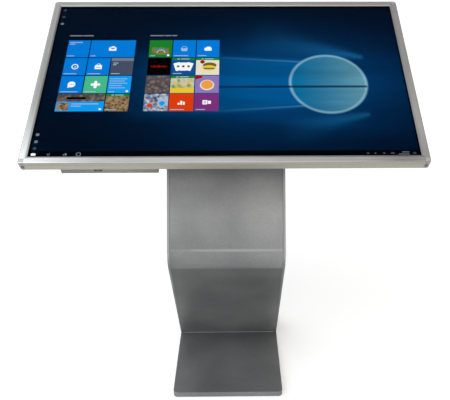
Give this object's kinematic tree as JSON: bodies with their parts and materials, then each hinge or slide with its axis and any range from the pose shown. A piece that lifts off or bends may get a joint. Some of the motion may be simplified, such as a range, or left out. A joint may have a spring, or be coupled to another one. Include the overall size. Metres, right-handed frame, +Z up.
{
  "type": "touchscreen kiosk",
  "caption": "Free-standing landscape touchscreen kiosk: tilted display in a brushed metal frame on a K-shaped sheet-steel stand with a low base, rear service door and connector box.",
  "frame": {"origin": "on the floor under the levelling feet, at the middle of the kiosk's bounding box", "axes": "+Z up, +X to the right of a person facing the screen, +Y away from that person"},
  "size_m": [1.2626, 0.6242, 1.3275],
  "materials": {
    "brushed_aluminium": "brushed along each rail, clear anodised",
    "corner_plastic": "satin silver moulding",
    "powder_coat": "fine matte metallic powder coat",
    "zinc_steel": "bright zinc plated",
    "chrome_trim": "polished",
    "black_plastic": "moulded, fine texture",
    "touch_glass": "toughened, smooth",
    "screen": "lit display panel",
    "circuit_board": "solder mask",
    "cable_jacket": "matte jacket",
    "foot_rubber": "moulded pad on a steel stud"
  },
  "bodies": {
    "stand": {"base_cover": "powder_coat", "base_plate": "zinc_steel", "column_side_left": "powder_coat", "column_side_right": "powder_coat", "column_front_skin": "powder_coat", "column_back_upper": "powder_coat", "column_back_lower": "powder_coat", "column_foot_flange": "zinc_steel", "column_top_flange": "powder_coat", "knee_stiffener": "zinc_steel", "door_hinge_fixed_leaf": "zinc_steel", "door_hinge_pin": "zinc_steel", "power_inlet": "black_plastic", "power_cable": "cable_jacket", "frame_rail_top": "brushed_aluminium", "frame_rail_bottom": "brushed_aluminium", "frame_rail_left": "brushed_aluminium", "frame_rail_right": "brushed_aluminium", "corner_cap_top_left": "corner_plastic", "corner_cap_top_right": "corner_plastic", "corner_cap_bottom_left": "corner_plastic", "corner_cap_bottom_right": "corner_plastic", "corner_screw_top_left": "zinc_steel", "corner_screw_top_right": "zinc_steel", "corner_screw_bottom_left": "zinc_steel", "corner_screw_bottom_right": "zinc_steel", "touch_glass": "touch_glass", "ir_touch_frame": "black_plastic", "lcd_panel": "screen", "head_back_cover": "powder_coat", "mount_rail_left": "zinc_steel", "mount_rail_right": "zinc_steel", "head_bolt_1": "zinc_steel", "head_bolt_2": "zinc_steel", "head_bolt_3": "zinc_steel", "head_bolt_4": "zinc_steel", "fan_frame": "black_plastic", "power_supply": "zinc_steel", "control_board": "circuit_board", "mini_computer": "black_plastic", "speaker_left": "black_plastic", "speaker_right": "black_plastic", "io_box": "powder_coat", "io_flap_pin": "zinc_steel", "io_socket_panel": "black_plastic"},
    "foot_front_left": {"levelling_foot_front_left": "foot_rubber"},
    "foot_front_right": {"levelling_foot_front_right": "foot_rubber"},
    "foot_rear_left": {"levelling_foot_rear_left": "foot_rubber"},
    "foot_rear_right": {"levelling_foot_rear_right": "foot_rubber"},
    "door": {"rear_door": "powder_coat", "door_hinge_moving_leaf": "zinc_steel", "door_lock_body": "chrome_trim"},
    "door_lock": {"door_lock_plug": "chrome_trim", "door_lock_cam": "zinc_steel"},
    "rocker": {"power_rocker": "black_plastic"},
    "flap": {"io_flap": "powder_coat"},
    "flap_latch": {"flap_latch_knob": "black_plastic", "flap_latch_cam": "zinc_steel"},
    "button": {"power_button": "chrome_trim"},
    "fan": {"fan_rotor": "black_plastic"}
  },
  "joints": [
    {"name": "foot_front_left_screw_out", "type": "slide", "parent": "stand", "child": "foot_front_left", "axis": [0, 0, -1], "range_m": [0, 0.012]},
    {"name": "foot_front_right_screw_out", "type": "slide", "parent": "stand", "child": "foot_front_right", "axis": [0, 0, -1], "range_m": [0, 0.012]},
    {"name": "foot_rear_left_screw_out", "type": "slide", "parent": "stand", "child": "foot_rear_left", "axis": [0, 0, -1], "range_m": [0, 0.012]},
    {"name": "foot_rear_right_screw_out", "type": "slide", "parent": "stand", "child": "foot_rear_right", "axis": [0, 0, -1], "range_m": [0, 0.012]},
    {"name": "door_hinge", "type": "hinge", "parent": "stand", "child": "door", "pos_m": [-0.15075, -0.01029, 0.29941], "axis": [0, -0.515, 0.8572], "range_deg": [0, 110]},
    {"name": "door_lock_turn", "type": "hinge", "parent": "door", "child": "door_lock", "pos_m": [0.13, -0.01414, 0.29709], "axis": [0, 0.8572, 0.515], "range_deg": [0, 90]},
    {"name": "power_switch", "type": "hinge", "parent": "stand", "child": "rocker", "pos_m": [0.1035, 0.11247, 0.08151], "axis": [-1, 0, 0], "range_deg": [0, 14]},
    {"name": "flap_hinge", "type": "hinge", "parent": "stand", "child": "flap", "pos_m": [-0.3645, -0.25166, 0.86542], "axis": [1, 0, 0], "range_deg": [0, 95]},
    {"name": "flap_latch_turn", "type": "hinge", "parent": "flap", "child": "flap_latch", "pos_m": [-0.4, -0.26137, 0.87552], "axis": [0, 0.829, 0.5592], "range_deg": [0, 90]},
    {"name": "power_button_press", "type": "slide", "parent": "stand", "child": "button", "axis": [0, 0.829, 0.5592], "range_m": [0, 0.0015], "stiffness_N_per_m": 500},
    {"name": "fan_spin", "type": "hinge", "parent": "stand", "child": "fan", "pos_m": [0.305, 0.15368, 1.15005], "axis": [0, -0.5592, 0.829], "continuous": true}
  ]
}
